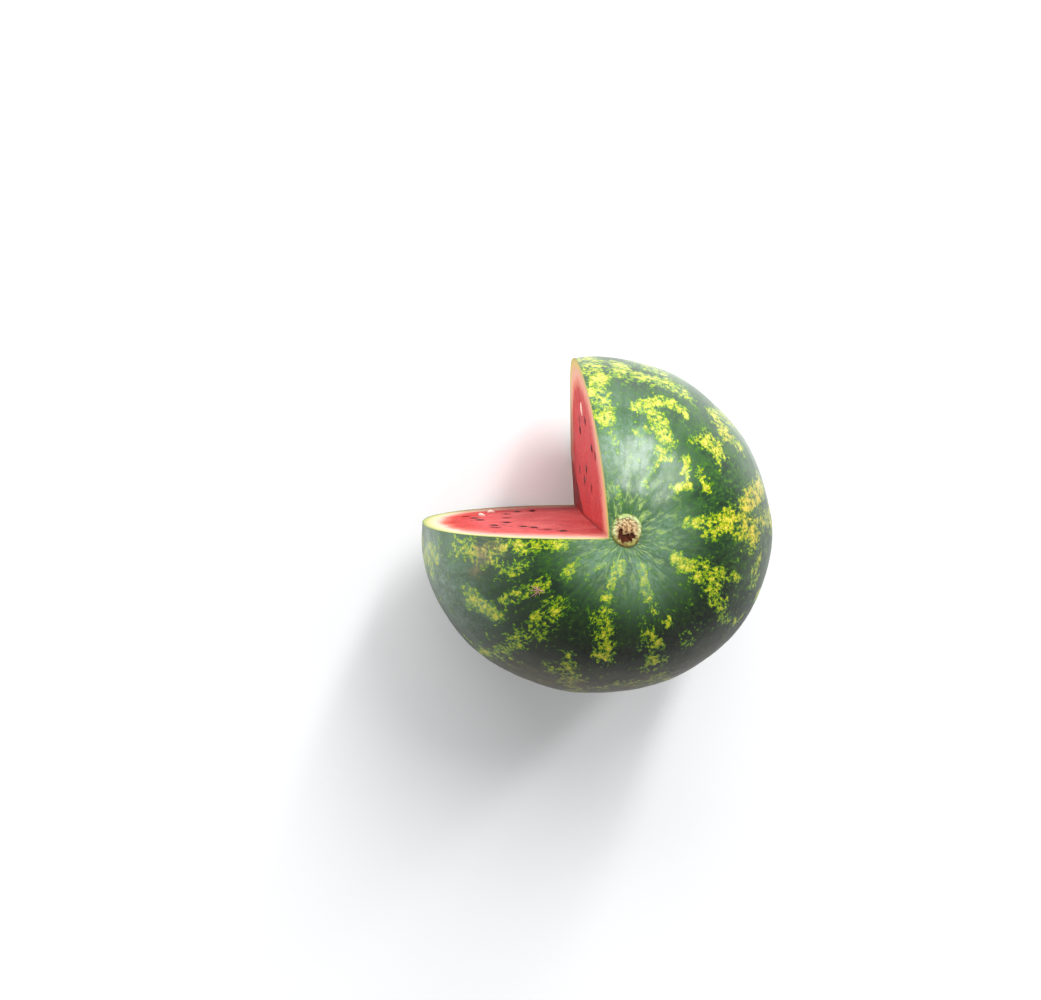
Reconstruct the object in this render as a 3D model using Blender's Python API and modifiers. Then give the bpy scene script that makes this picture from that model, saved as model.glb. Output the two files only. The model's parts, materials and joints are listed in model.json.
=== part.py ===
"""A ripe watermelon with a quarter cut out of it, standing on its blossom end.

The frame's origin is the middle of the small flat spot that the melon rests on,
and +Z runs up the melon's own axis to the stem end.  The missing quarter is the
one at -X and +Y.  Lengths are metres.
"""

import random
from math import atan2, cos, hypot, pi, radians, sin

import bmesh
import bpy
from mathutils import Matrix, Vector

# The whole fruit
DIAMETER = 0.240
LENGTH = 0.269                    # stem end to blossom end, before the flat spot
FULLNESS = 2.2                    # exponent of the side outline; 2 is an ellipse
OVALITY = 0.018                   # how far the waist is from round, of its radius
OVALITY_TURN = radians(4)
LOBING = 0.012                    # three soft lobes round the waist, of its radius
LOBING_TURN = radians(-33)
REST_FLAT_DEPTH = 0.0035          # how much of the blossom end the flat spot takes

# The cut: face A looks along -X, face B along +Y.  They meet at the inner corner
CUT_A_X = -0.0050                 # at the melon's middle height, beside the corner
CUT_A_LEAN = -0.030               # X gained per metre of height
CUT_A_TWIST = -0.29               # extra lean per metre away from the corner
CUT_A_BOW = 0.625                 # X lost per square metre away from the corner
CUT_B_Y = 0.0041                  # at the melon's middle height
CUT_B_LEAN = -0.0244              # Y gained per metre of height
CUT_COLUMNS = 16                  # facets across the bowed face A

# The knife's second stroke: a ridge runs down face A, and below it the cut is deeper
RIDGE_START = -0.021              # height over the middle where the ridge leaves the corner
RIDGE_FALL = 2.27                 # how steeply it drops away from the corner
RIDGE_UNDERCUT = 0.0266           # depth gained per metre below the ridge

# The stem end: a shallow hollow with the corky stub of the stem set in it
HOLLOW_RADIUS = 0.017
HOLLOW_DEPTH = 0.0018
STUB_RADIUS = 0.0095
STUB_RISE = 0.0020                # stands over the floor of the hollow
STUB_ROOT = 0.0035                # is set into the flesh
STUB_DISH = 0.0014                # the sunk middle where the stem broke off
STUB_SKIN = 0.0015                # skin left between the stub and cut face A
STUB_Y = 0.0065                   # the stem sits a little off the axis
STUB_SIDES = 28

# Seeds that show at the cut faces
SEED_LENGTH = 0.0064
SEED_WIDTH = 0.0043
SEED_THICKNESS = 0.0021
SEED_SINK = 0.00025               # a seed's middle lies this far under the cut face
SEED_SIDES = 10
SEED_RINGS = 6

FIT_GAP = 0.0003                  # between pieces that touch
BODY_SIDES = 80
BODY_RINGS = 30

# Where each seed lies: distance from the corner, of the radius, and height over
# the middle, of the half length
SEEDS_ON_B = [
    (0.667, -0.138), (0.523, 0.027), (0.400, 0.324), (0.452, 0.262),
    (0.262, 0.537), (0.470, -0.455), (0.393, -0.600), (0.297, -0.632),
    (0.690, -0.250), (0.610, 0.170),
]
PALE_SEEDS_ON_B = [(0.632, -0.392), (0.557, -0.585)]
SEEDS_ON_A = [(0.333, 0.030), (0.262, -0.100), (0.560, -0.180), (0.620, 0.210), (0.470, 0.430)]
PALE_SEEDS_ON_A = [(0.690, 0.060)]

# Worked out from the sizes above
RADIUS = DIAMETER / 2
HALF_LENGTH = LENGTH / 2
MIDDLE = HALF_LENGTH - REST_FLAT_DEPTH          # height of the waist over the floor
CUT_REACH = 1.4 * max(RADIUS, HALF_LENGTH)      # the cutter runs past the skin


def lobe_scale(angle):
    """How far the skin stands out at an angle round the axis, of a round melon's."""
    oval = OVALITY * cos(2 * (angle - OVALITY_TURN))
    lobes = LOBING * cos(3 * (angle - LOBING_TURN))
    return 1 + oval + lobes


def outline_radius(up):
    """The round melon's radius at a height over its middle."""
    inside = 1 - abs(up / HALF_LENGTH) ** FULLNESS
    return RADIUS * max(inside, 0) ** (1 / FULLNESS)


def face_b_y(z):
    """Y of cut face B at a height over the floor."""
    return CUT_B_Y + CUT_B_LEAN * (z - MIDDLE)


def ridge_height(y):
    """Height of the knife's ridge on cut face A."""
    return MIDDLE + RIDGE_START - RIDGE_FALL * (y - CUT_B_Y)


def face_a_x(y, z):
    """X of cut face A, which is bowed and twisted, with the step below its ridge."""
    up = z - MIDDLE
    main = CUT_A_X + CUT_A_LEAN * up + CUT_A_TWIST * y * up - CUT_A_BOW * y * y
    return main + RIDGE_UNDERCUT * max(0, ridge_height(y) - z)


TOP = MIDDLE + HALF_LENGTH
STUB_X = face_a_x(face_b_y(TOP), TOP) + STUB_SKIN + FIT_GAP + STUB_RADIUS


def hollow_drop(x, y):
    """How far the skin is sunk round the stem."""
    distance = hypot(x - STUB_X, y - STUB_Y) / HOLLOW_RADIUS
    return HOLLOW_DEPTH / (1 + distance ** 4)


def clear_scene():
    for old in list(bpy.data.objects):
        bpy.data.objects.remove(old, do_unlink=True)


def new_collection(name):
    made = bpy.data.collections.new(name)
    bpy.context.scene.collection.children.link(made)
    return made


def new_material(name, colour, roughness):
    made = bpy.data.materials.new(name)
    made.use_nodes = True
    shader = made.node_tree.nodes["Principled BSDF"]
    shader.inputs["Base Color"].default_value = (*colour, 1)
    shader.inputs["Roughness"].default_value = roughness
    shader.inputs["Metallic"].default_value = 0
    return made


def new_object(name, mesh, collection, parent=None):
    made = bpy.data.objects.new(name, mesh)
    collection.objects.link(made)
    made.parent = parent
    return made


def hide_cutter(cutter):
    cutter.hide_render = True
    cutter.display_type = "WIRE"


def cut(target, cutter, name):
    step = target.modifiers.new(name, "BOOLEAN")
    step.operation = "DIFFERENCE"
    step.solver = "EXACT"
    step.object = cutter


def turned_mesh(name, profile, sides, collection):
    """A profile of (radius, height), top to bottom on the outer side, turned once round."""
    line = bpy.data.meshes.new(name + "_profile")
    points = [(radius, 0, height) for radius, height in profile]
    edges = [(i, i + 1) for i in range(len(points) - 1)]
    line.from_pydata(points, edges, [])
    guide = new_object(name + "_profile", line, collection)
    screw = guide.modifiers.new("turn", "SCREW")
    screw.axis = "Z"
    screw.steps = sides
    screw.render_steps = sides
    screw.use_merge_vertices = True
    screw.merge_threshold = 0.00001
    bpy.context.view_layer.update()
    seen = guide.evaluated_get(bpy.context.evaluated_depsgraph_get())
    mesh = bpy.data.meshes.new_from_object(seen)
    mesh.name = name
    bpy.data.objects.remove(guide, do_unlink=True)
    return mesh


def body_profile():
    """The whole melon's side outline, from the stem end to the middle of the flat spot."""
    flat_radius = outline_radius(HALF_LENGTH - REST_FLAT_DEPTH)
    rim_angle = atan2(MIDDLE / HALF_LENGTH, flat_radius / RADIUS)
    points = [(0, TOP)]
    for ring in range(1, BODY_RINGS + 1):
        angle = pi / 2 - (pi / 2 + rim_angle) * ring / BODY_RINGS
        ray = (abs(cos(angle)) ** FULLNESS + abs(sin(angle)) ** FULLNESS) ** (-1 / FULLNESS)
        points.append((RADIUS * ray * cos(angle), MIDDLE + HALF_LENGTH * ray * sin(angle)))
    points[-1] = (flat_radius, 0)
    points.append((0, 0))
    return points


def shape_body(mesh):
    """Gives the turned melon its ovality, its lobes and the hollow at the stem."""
    for point in mesh.vertices:
        x, y, z = point.co
        scale = lobe_scale(atan2(y, x))
        x, y = x * scale, y * scale
        if z > MIDDLE:
            z -= hollow_drop(x, y)
        point.co = (x, y, z)


def ridge_row(share):
    """Height of the ridge on the line that lies at a share of the way out along face A."""
    run = share * (CUT_REACH - CUT_B_Y)
    drop = (RIDGE_FALL * run - RIDGE_START) / (1 + RIDGE_FALL * (1 - share) * CUT_B_LEAN)
    return MIDDLE - min(drop, 0.98 * CUT_REACH)


def face_a_point(share, z):
    """A point of face A, at a share of the way from the corner to the cutter's far side."""
    start = face_b_y(z)
    y = start + share * (CUT_REACH - start)
    return Vector((face_a_x(y, z), y, z))


def notch_mesh():
    """The missing quarter, as one cutter lofted between its outlines up the melon."""
    bottom, top = MIDDLE - CUT_REACH, MIDDLE + CUT_REACH
    columns = []
    for step in range(CUT_COLUMNS + 1):
        share = step / CUT_COLUMNS
        columns.append([face_a_point(share, z) for z in (bottom, ridge_row(share), top)])
    far_corner = [Vector((-CUT_REACH, CUT_REACH, point.z)) for point in columns[-1]]
    face_b_end = [Vector((-CUT_REACH, point.y, point.z)) for point in columns[0]]
    columns += [far_corner, face_b_end]
    loft = bmesh.new()
    rows = [[loft.verts.new(column[row]) for column in columns] for row in range(3)]
    for low, high in zip(rows, rows[1:]):
        for i in range(len(columns)):
            j = (i + 1) % len(columns)
            loft.faces.new((low[i], low[j], high[j], high[i]))
    loft.faces.new(rows[0])
    loft.faces.new(rows[-1])
    bmesh.ops.recalc_face_normals(loft, faces=loft.faces)
    bmesh.ops.triangulate(loft, faces=loft.faces)
    made = bpy.data.meshes.new("missing_quarter")
    loft.to_mesh(made)
    loft.free()
    return made


def stub_floor():
    """Height of the recess's floor under the stem stub."""
    return TOP - HOLLOW_DEPTH - STUB_ROOT


def stub_profile():
    """The corky stub's outline, from its dished middle out to its rim and down."""
    crown = TOP - HOLLOW_DEPTH + STUB_RISE
    foot = stub_floor() + FIT_GAP
    return [
        (0, crown - STUB_DISH),
        (0.25 * STUB_RADIUS, crown - 0.9 * STUB_DISH),
        (0.50 * STUB_RADIUS, crown - 0.3 * STUB_DISH),
        (0.72 * STUB_RADIUS, crown),
        (0.88 * STUB_RADIUS, crown - 0.2 * STUB_RISE),
        (STUB_RADIUS, crown - 0.6 * STUB_RISE),
        (STUB_RADIUS, foot),
        (0, foot),
    ]


def crinkle_stub(mesh):
    """Folds the cork of the stub's crown, and leaves its sides and foot true."""
    crown = TOP - HOLLOW_DEPTH + 0.3 * STUB_RISE
    for point in mesh.vertices:
        x, y, z = point.co
        if z > crown and hypot(x, y) > 0.1 * STUB_RADIUS:
            turn = atan2(y, x)
            point.co.z += STUB_RISE * (0.16 * sin(5 * turn) + 0.10 * sin(9 * turn + 1))


def make_stub(collection, parent):
    mesh = turned_mesh("stem_stub", stub_profile(), STUB_SIDES, collection)
    crinkle_stub(mesh)
    mesh.shade_smooth()
    mesh.set_sharp_from_angle(angle=radians(40))
    mesh.materials.append(new_material("cork", (0.42, 0.31, 0.17), 0.85))
    stub = new_object("stem_stub", mesh, collection, parent)
    stub.location = (STUB_X, STUB_Y, 0)
    return stub


def make_recess(collection):
    """The cutter that clears the melon's flesh round the stem stub."""
    recess = bmesh.new()
    height = STUB_ROOT + HOLLOW_DEPTH + STUB_RISE
    radius = STUB_RADIUS + FIT_GAP
    bmesh.ops.create_cone(recess, cap_ends=True, segments=STUB_SIDES, radius1=radius,
                          radius2=radius, depth=height)
    made = bpy.data.meshes.new("stub_recess")
    recess.to_mesh(made)
    recess.free()
    cutter = new_object("stub_recess", made, collection)
    cutter.location = (STUB_X, STUB_Y, stub_floor() + height / 2)
    hide_cutter(cutter)
    return cutter


def seed_mesh(name, grow):
    """A flat drop-shaped seed, pointed at +X, with its skin moved out by grow."""
    seed = bmesh.new()
    bmesh.ops.create_uvsphere(seed, u_segments=SEED_SIDES, v_segments=SEED_RINGS, radius=1)
    for point in seed.verts:
        along, across, up = point.co.z, point.co.x, point.co.y
        taper = 1 - 0.28 * along - 0.10 * along * along
        point.co.x = along * (SEED_LENGTH / 2 + grow)
        point.co.y = across * taper * (SEED_WIDTH / 2) + across * grow
        point.co.z = up * taper * (SEED_THICKNESS / 2) + up * grow
    made = bpy.data.meshes.new(name)
    seed.to_mesh(made)
    seed.free()
    made.shade_smooth()
    return made


def face_frame(middle, normal, inward, spin, roll):
    """A seed's place: its Z along the face's normal, its tip turned from inward by spin."""
    normal = normal.normalized()
    side = normal.cross(inward).normalized()
    tip = side.cross(normal)
    turn = Matrix((tip, side, normal)).transposed().to_4x4()
    lie = Matrix.Rotation(spin, 4, "Z") @ Matrix.Rotation(roll, 4, "X")
    return Matrix.Translation(middle - normal * SEED_SINK) @ turn @ lie


def place_on_b(along, up):
    """Point and normal of face B at a seed's shares of the radius and the half length."""
    z = MIDDLE + up * HALF_LENGTH
    normal = Vector((0, 1, -CUT_B_LEAN))
    return Vector((-along * RADIUS, face_b_y(z), z)), normal


def place_on_a(along, up):
    """Point and normal of face A at a seed's shares of the radius and the half length."""
    y, z = along * RADIUS, MIDDLE + up * HALF_LENGTH
    step = 0.001
    point = Vector((face_a_x(y, z), y, z))
    over_y = Vector((face_a_x(y + step, z), y + step, z)) - point
    over_z = Vector((face_a_x(y, z + step), y, z + step)) - point
    return point, over_z.cross(over_y)


def seed_places():
    """Every seed as its place and whether it is ripe, in the order of their names."""
    lie = random.Random(11)
    groups = [
        (SEEDS_ON_B, place_on_b, Vector((1, 0, 0)), True),
        (PALE_SEEDS_ON_B, place_on_b, Vector((1, 0, 0)), False),
        (SEEDS_ON_A, place_on_a, Vector((0, -1, 0)), True),
        (PALE_SEEDS_ON_A, place_on_a, Vector((0, -1, 0)), False),
    ]
    places = []
    for shares, place, inward, ripe in groups:
        for along, up in shares:
            middle, normal = place(along, up)
            spin = radians(lie.uniform(-50, 50))
            roll = radians(lie.uniform(-30, 30))
            places.append((face_frame(middle, normal, inward, spin, roll), ripe))
    return places


def make_seeds(places, collection, parent):
    ripe_coat = new_material("seed_coat", (0.012, 0.010, 0.014), 0.30)
    pale_coat = new_material("pale_seed_coat", (0.80, 0.66, 0.52), 0.45)
    for number, (place, ripe) in enumerate(places, 1):
        name = f"seed_{number:02d}"
        mesh = seed_mesh(name, 0)
        mesh.materials.append(ripe_coat if ripe else pale_coat)
        seed = new_object(name, mesh, collection, parent)
        seed.matrix_local = place


def make_pockets(places, collection):
    """One cutter with a pocket round each seed, a fit gap larger all over."""
    pockets = bmesh.new()
    grown = seed_mesh("seed_pocket", FIT_GAP)
    for place, _ in places:
        copy = grown.copy()
        copy.transform(place)
        pockets.from_mesh(copy)
        bpy.data.meshes.remove(copy)
    made = bpy.data.meshes.new("seed_pockets")
    pockets.to_mesh(made)
    pockets.free()
    cutter = new_object("seed_pockets", made, collection)
    hide_cutter(cutter)
    return cutter


def make_melon(places, collection, cutters, parent):
    mesh = turned_mesh("melon", body_profile(), BODY_SIDES, collection)
    shape_body(mesh)
    mesh.shade_smooth()
    mesh.materials.append(new_material("melon", (0.10, 0.22, 0.05), 0.45))
    melon = new_object("melon", mesh, collection, parent)
    notch = new_object("missing_quarter", notch_mesh(), cutters)
    hide_cutter(notch)
    cut(melon, notch, "take out the quarter")
    cut(melon, make_recess(cutters), "seat the stem stub")
    cut(melon, make_pockets(places, cutters), "seat the seeds")
    return melon


def main():
    clear_scene()
    parts = new_collection("watermelon")
    cutters = new_collection("cutters")
    axis = new_object("melon_axis", None, parts)
    places = seed_places()
    make_melon(places, parts, cutters, axis)
    make_stub(parts, axis)
    make_seeds(places, parts, axis)


main()
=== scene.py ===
"""The looks of the cut watermelon: skin, rind, wet flesh, seeds and the corky stem stub."""

import json
import math

import bmesh
import bpy
import numpy as np
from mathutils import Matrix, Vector, noise


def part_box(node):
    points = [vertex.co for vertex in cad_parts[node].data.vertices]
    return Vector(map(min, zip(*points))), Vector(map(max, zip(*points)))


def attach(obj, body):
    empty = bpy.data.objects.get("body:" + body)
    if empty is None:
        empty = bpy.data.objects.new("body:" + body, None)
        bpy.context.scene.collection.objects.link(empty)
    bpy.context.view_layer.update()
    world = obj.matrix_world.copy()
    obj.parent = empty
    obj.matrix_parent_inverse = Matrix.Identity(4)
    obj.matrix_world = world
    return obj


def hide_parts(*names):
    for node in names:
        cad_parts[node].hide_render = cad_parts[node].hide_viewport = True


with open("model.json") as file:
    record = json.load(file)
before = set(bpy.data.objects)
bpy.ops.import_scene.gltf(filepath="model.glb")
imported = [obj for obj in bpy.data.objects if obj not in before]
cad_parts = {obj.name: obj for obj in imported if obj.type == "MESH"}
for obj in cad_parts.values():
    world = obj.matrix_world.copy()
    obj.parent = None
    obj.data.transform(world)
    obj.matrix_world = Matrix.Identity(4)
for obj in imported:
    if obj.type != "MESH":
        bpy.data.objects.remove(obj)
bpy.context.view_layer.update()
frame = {"nodes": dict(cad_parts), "record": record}

MM = 0.001

# The melon's form, the same as its solid's in the frame
RADIUS = 120 * MM
HALF_LENGTH = 134.5 * MM
MIDDLE = 131 * MM                 # height of the waist over the floor
FULLNESS = 2.2
OVALITY, OVALITY_TURN = 0.018, math.radians(4)
LOBING, LOBING_TURN = 0.012, math.radians(-33)
TOP = MIDDLE + HALF_LENGTH

# The cut, as in the solid: face A looks along -X, face B along +Y
CUT_A_X, CUT_A_LEAN, CUT_A_TWIST, CUT_A_BOW = -5.0 * MM, -0.030, -0.29, 0.625
CUT_B_Y, CUT_B_LEAN = 4.1 * MM, -0.0244
RIDGE_START, RIDGE_FALL, RIDGE_UNDERCUT = -21 * MM, 2.27, 0.0266

# The stem end
stub_low, stub_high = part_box("stem_stub")
STUB_CENTRE = (stub_low + stub_high) / 2
STUB_RADIUS = (stub_high.x - stub_low.x) / 2
HOLLOW_RADIUS, HOLLOW_DEPTH = 17 * MM, 1.8 * MM
STUB_STRETCH, STUB_SHIFT = 1.13, -0.7 * MM        # along Y
SUNK_UNDER_STUB = 3.5 * MM

# Where the stub's cork has broken away: middle in X and Y, half width in X and Y
STUB_HOLES = [(-0.2 * MM, -4.0 * MM, 4.8 * MM, 2.3 * MM), (-4.2 * MM, -1.2 * MM, 1.6 * MM, 2.8 * MM),
              (3.6 * MM, -2.8 * MM, 1.9 * MM, 1.7 * MM)]

# Where the turn round the axis jumps by a full circle: in the missing quarter
SEAM_TURN = math.radians(135)

# A seed beyond this Y lies on face A, and a point of the mesh this far from face B too
FACE_A_SEEDS_Y, FACE_A_POINTS = 12 * MM, 6 * MM

# Faint ribs down the skin and furrows round the stem: how many, and how high
RIBS, RIB_HEIGHT = 11, 0.35 * MM
FURROWS, FURROW_HEIGHT = 17, 0.14 * MM

# How fine the melon's mesh is
SKIN_COLUMNS = 280
ROWS = 196
FACE_COLUMNS = 88
SHARP_ANGLE = 42                  # degrees between faces, as at the cut's rims


# ---------------------------------------------------------------- form

def lobe_scale(turn):
    """How far the skin stands out at an angle round the axis, of a round melon's."""
    oval = OVALITY * np.cos(2 * (turn - OVALITY_TURN))
    return 1 + oval + LOBING * np.cos(3 * (turn - LOBING_TURN))


def from_stub(x, y):
    """Distance from the stub's middle, as seen from above."""
    return np.hypot(x - STUB_CENTRE.x, y - STUB_CENTRE.y)


def hollow_drop(x, y):
    """How far the skin is sunk round the stem."""
    return HOLLOW_DEPTH / (1 + (from_stub(x, y) / HOLLOW_RADIUS) ** 4)


def fruit_level(x, y, up):
    """0 at the whole fruit's centre, 1 on its skin, at a height over the middle."""
    across = np.hypot(x, y) / lobe_scale(np.arctan2(y, x)) / RADIUS
    return (across ** FULLNESS + np.abs(up / HALF_LENGTH) ** FULLNESS) ** (1 / FULLNESS)


def inside(x, y, z):
    """0 at the melon's centre, 1 on its skin, with the stem's hollow and the flat spot."""
    x, y, z = np.broadcast_arrays(x, y, z)
    up = z - MIDDLE + np.where(z > MIDDLE, hollow_drop(x, y), 0)
    return np.maximum(fruit_level(x, y, up), (MIDDLE - z) / MIDDLE)


def face_b_y(z):
    return CUT_B_Y + CUT_B_LEAN * (z - MIDDLE)


def face_a_x(y, z):
    """X of cut face A: bowed, twisted, and deeper below the knife's ridge."""
    up = z - MIDDLE
    ridge = MIDDLE + RIDGE_START - RIDGE_FALL * (y - CUT_B_Y)
    main = CUT_A_X + CUT_A_LEAN * up + CUT_A_TWIST * y * up - CUT_A_BOW * y * y
    return main + RIDGE_UNDERCUT * np.maximum(0, ridge - z)


def corner(z):
    """The inner corner of the cut at a height: its X and Y."""
    y = face_b_y(z)
    return face_a_x(y, z), y


def place(share, out, z):
    """A point beside the corner line: share 0 lies on face B, 1 on face A, and out is
    its distance from the corner line."""
    corner_x, corner_y = corner(z)
    turn = -math.pi + share * 1.5 * math.pi
    y = corner_y + out * np.sin(turn)
    bow = face_a_x(corner_y + out, z) - corner_x
    weight = np.clip((share - 0.8) / 0.2, 0, 1) ** 2
    return corner_x + out * np.cos(turn) + weight * bow, y


def ray_point(share, tilt, reach):
    """The point at a reach along a tilted ray that starts in the middle of the corner."""
    z = MIDDLE + reach * np.sin(tilt) * HALF_LENGTH
    x, y = place(share, reach * np.cos(tilt) * RADIUS, z)
    return x, y, z


BEYOND_SKIN, HALVINGS = 1.6, 40


def reach_skin(share, tilt):
    """How far along its ray the skin lies, found by halving."""
    near, far = np.zeros_like(share * tilt), np.full_like(share * tilt, BEYOND_SKIN)
    for _ in range(HALVINGS):
        half = (near + far) / 2
        out = inside(*ray_point(share, tilt, half)) > 1
        far = np.where(out, half, far)
        near = np.where(out, near, half)
    return (near + far) / 2


def even_tilts():
    """Tilts of the mesh's rows, from the stem end down, evenly spaced along the skin."""
    fine = np.linspace(math.pi / 2, -math.pi / 2, 4001)
    x, y, z = ray_point(0.5, fine, reach_skin(np.full_like(fine, 0.5), fine))
    steps = np.sqrt(np.diff(x) ** 2 + np.diff(y) ** 2 + np.diff(z) ** 2)
    along = np.concatenate([[0], np.cumsum(steps)])
    tilts = np.interp(np.linspace(0, along[-1], ROWS + 1), along, fine)
    tilts[0], tilts[-1] = math.pi / 2, -math.pi / 2
    return tilts


# ---------------------------------------------------------------- noise on points

NOISE_OCTAVES = 3


def noise_at(points, size, seed):
    """Soft noise, about -1 to 1, with lumps of a size in metres at each point."""
    shift = Vector((seed * 3.1, seed * 1.7, seed * 2.3))
    size = np.broadcast_to(np.asarray(size, float), 3)
    scaled = points / size
    return np.array([noise.fractal(Vector(p) + shift, 1.0, 2.0, NOISE_OCTAVES) for p in scaled])


def smooth(value, low, high):
    """0 below low, 1 above high, and a soft step between."""
    t = np.clip((value - low) / (high - low), 0, 1)
    return t * t * (3 - 2 * t)


# ---------------------------------------------------------------- the skin's pattern

def meridian():
    """Latitudes from the stem end down, with the round melon's radius, height and the
    distance along the skin from the stem end at each."""
    lat = np.linspace(math.pi / 2, -math.pi / 2, 721)
    ray = (np.abs(np.cos(lat)) ** FULLNESS + np.abs(np.sin(lat)) ** FULLNESS) ** (-1 / FULLNESS)
    radius, up = RADIUS * ray * np.cos(lat), HALF_LENGTH * ray * np.sin(lat)
    along = np.concatenate([[0], np.cumsum(np.hypot(np.diff(radius), np.diff(up)))])
    return lat, radius, up, along


LATITUDES, MERIDIAN_RADIUS, MERIDIAN_UP, MERIDIAN_ALONG = meridian()


def skin_place(turn, along):
    """The point on the skin at a turn in degrees and a distance from the stem end."""
    turn = np.radians(turn)
    radius = np.interp(along, MERIDIAN_ALONG, MERIDIAN_RADIUS) * lobe_scale(turn)
    up = np.interp(along, MERIDIAN_ALONG, MERIDIAN_UP)
    return np.stack([radius * np.cos(turn), radius * np.sin(turn), MIDDLE + up], -1)


def skin_coordinates(points):
    """Each point's turn round the axis, and its distance along the skin from the stem end."""
    turn = np.arctan2(points[:, 1], points[:, 0])
    across = np.hypot(points[:, 0], points[:, 1]) / lobe_scale(turn) / RADIUS
    lat = np.arctan2((points[:, 2] - MIDDLE) / HALF_LENGTH, across)
    turn = np.where(turn > SEAM_TURN, turn - 2 * math.pi, turn)
    return turn, np.interp(-lat, -LATITUDES, MERIDIAN_ALONG)


# Broken yellow-green stripes: points of (turn in degrees, millimetres from the stem
# end), the half width in millimetres, and how strongly it shows. A helper program
# printed most of these points, and the scar's place below, so they are data and not
# a design. A rule or points drawn by hand should replace them.
STREAKS = [
    ([(96, 142), (93, 130), (96, 116), (95, 99), (96, 84)], 7, 1.0),
    ([(93, 74), (93, 66)], 3, 0.7),
    ([(99, 34), (96, 25)], 3, 0.6),
    ([(85, 161), (84, 134), (76, 140), (69, 134), (61, 136)], 8.5, 0.95),
    ([(79, 96), (72, 107), (65, 111), (60, 107)], 6, 1.0),
    ([(74, 97), (67, 85), (63, 73), (62, 64)], 6, 1.0),
    ([(62, 64), (65, 51), (69, 38)], 3, 0.75),
    ([(79, 75), (70, 80)], 4, 0.9),
    ([(46, 136), (40, 122), (34, 131)], 8, 0.9),
    ([(46, 94), (42, 102), (37, 97)], 7, 1.0),
    ([(48, 71), (44, 62)], 3.5, 0.9),
    ([(41, 50), (36, 58)], 3.5, 0.9),
    ([(38, 72), (29, 70)], 4, 0.9),
    ([(13, 44), (10, 56), (10, 72)], 4.5, 1.0),
    ([(2, 57), (5, 73), (1, 89)], 5, 0.95),
    ([(16, 143), (14, 118), (12, 98), (5, 96), (-4, 103)], 8, 1.0),
    ([(9, 77), (9, 98)], 6, 1.0),
    ([(-21, 37), (-25, 53), (-28, 70), (-34, 88)], 6, 0.9),
    ([(-20, 55), (-20, 76), (-21, 93)], 5, 0.85),
    ([(-99, 16), (-105, 28), (-107, 40), (-105, 52)], 4, 0.85),
    ([(-103, 55), (-98, 70), (-97, 90)], 7.5, 0.85),
    ([(-57, 21), (-65, 31), (-66, 46), (-64, 54)], 4, 0.85),
    ([(-60, 64), (-62, 70)], 3.5, 0.65),
    ([(-73, 71), (-71, 90), (-73, 108)], 6.5, 0.85),
    ([(-155, 32), (-150, 42)], 4, 0.8),
    ([(-134, 23), (-134, 32)], 3, 0.75),
    ([(-150, 58), (-153, 73), (-151, 92)], 4.5, 0.85),
    ([(-135, 63), (-134, 74), (-131, 86)], 8, 0.8),
    ([(-156, 120), (-149, 107)], 9, 1.0),
    ([(-134, 101), (-133, 123), (-133, 147)], 7, 0.8),
    ([(-112, 94), (-110, 110)], 4.5, 0.75),
    ([(-116, 118), (-104, 121)], 7, 0.7),
    ([(-54, 89), (-56, 100)], 6, 0.6),
    ([(-177, 80), (-176, 59), (-177, 38)], 5, 1.0),
    ([(-177, 124), (-174, 98), (-167, 81)], 8, 0.8),
    ([(-11, 115), (-20, 120)], 8, 0.7),
    ([(3, 150), (5, 122), (0, 108)], 8, 0.95),
    ([(-36, 92), (-38, 112), (-34, 128)], 5, 0.6),
    ([(-70, 128), (-75, 140), (-86, 132)], 8, 0.75),
    ([(-108, 136), (-100, 146), (-92, 140)], 7, 0.7),
    ([(-166, 60), (-161, 78)], 4, 0.7),
]

# Where each stripe runs on below the shoulder, down to the blossom end
LOWER_STRIPES = [96, 70, 41, 9, -24, -70, -101, -134, -172]
LOWER_START, LOWER_END = 150, 366

# Whitish bloom on the skin: turn in degrees, millimetres from the stem end, how wide
BLOOM = [(84, 62, 34, 0.95), (64, 40, 22, 0.6), (-150, 18, 20, 0.85), (-100, 16, 22, 0.8),
         (-60, 24, 24, 0.9), (90, 100, 26, 0.5), (10, 26, 22, 0.75), (-176, 22, 16, 0.7),
         (-153, 114, 15, 0.5),
         (-172, 146, 52, 0.75), (60, 150, 45, 0.25), (36, 150, 40, 0.3)]

# Where the stripes are more golden than green, given as the bloom is
GOLDEN = [(8, 118, 46, 0.85), (38, 122, 28, 0.6), (-104, 130, 40, 0.5)]

# Which way the side with painted shade and the browner side of the skin look, in degrees
PAINTED_SHADE_TURN, BROWN_SIDE_TURN = -92, -88

# The star-shaped scar on the skin
SCRATCH_TURN, SCRATCH_ALONG = -149, 65 * MM
SCRATCH_ARMS, ARM_STEPS = 9, 6

# Tan, rubbed spots, given as the bloom is
BLEMISHES = [(-174, 97, 8, 0.8), (-176, 84, 5, 0.6), (-168, 106, 6, 0.5)]


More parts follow.
